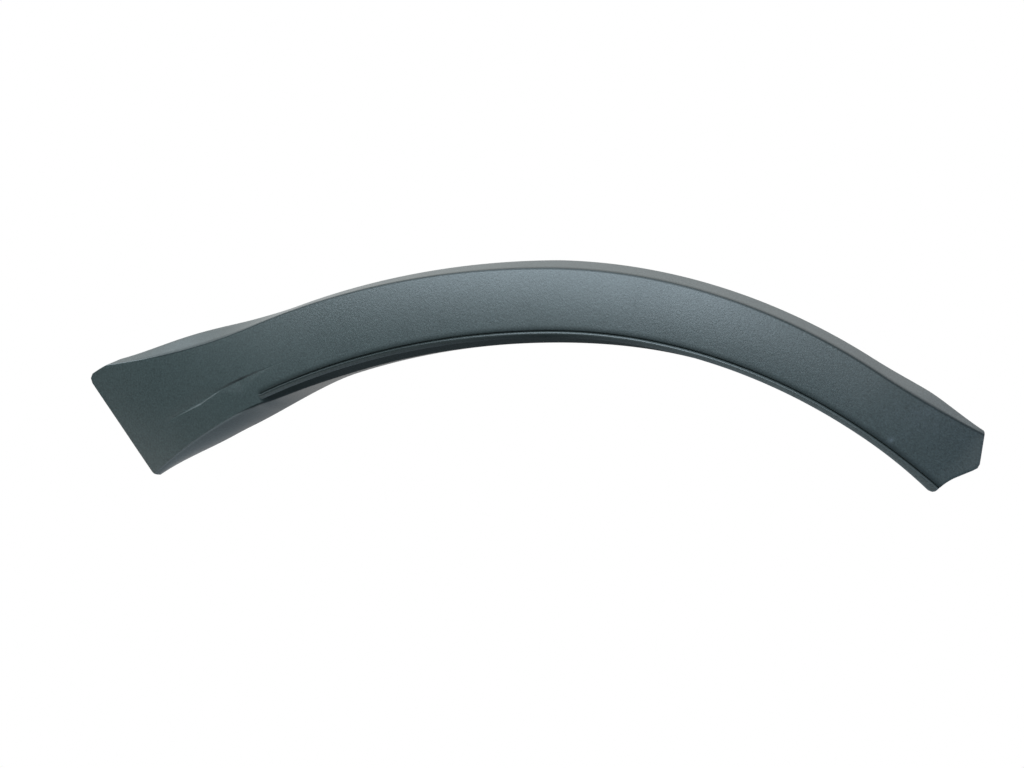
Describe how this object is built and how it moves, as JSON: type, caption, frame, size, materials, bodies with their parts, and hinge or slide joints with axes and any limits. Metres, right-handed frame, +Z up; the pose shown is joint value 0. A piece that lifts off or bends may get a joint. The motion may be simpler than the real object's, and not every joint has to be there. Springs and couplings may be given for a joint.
{
  "type": "wheel arch trim",
  "caption": "Curved moulded trim strip for the edge of a car's wheel arch: a flared tail, an edge bead, a return flange underneath and push-in clips on its back.",
  "frame": {"origin": "where the axis of the crown clip meets the body panel", "axes": "+X along the wheel arch towards the nose end, +Y into the car body, +Z up"},
  "size_m": [0.6169, 0.0457, 0.1395],
  "materials": {
    "moulding_plastic": "finely grained satin dark grey polypropylene, moulded in colour",
    "clip_plastic": "natural nylon, smooth moulded"
  },
  "bodies": {
    "root": {"arch_moulding": "moulding_plastic", "push_in_clips": "clip_plastic"}
  },
  "joints": []
}
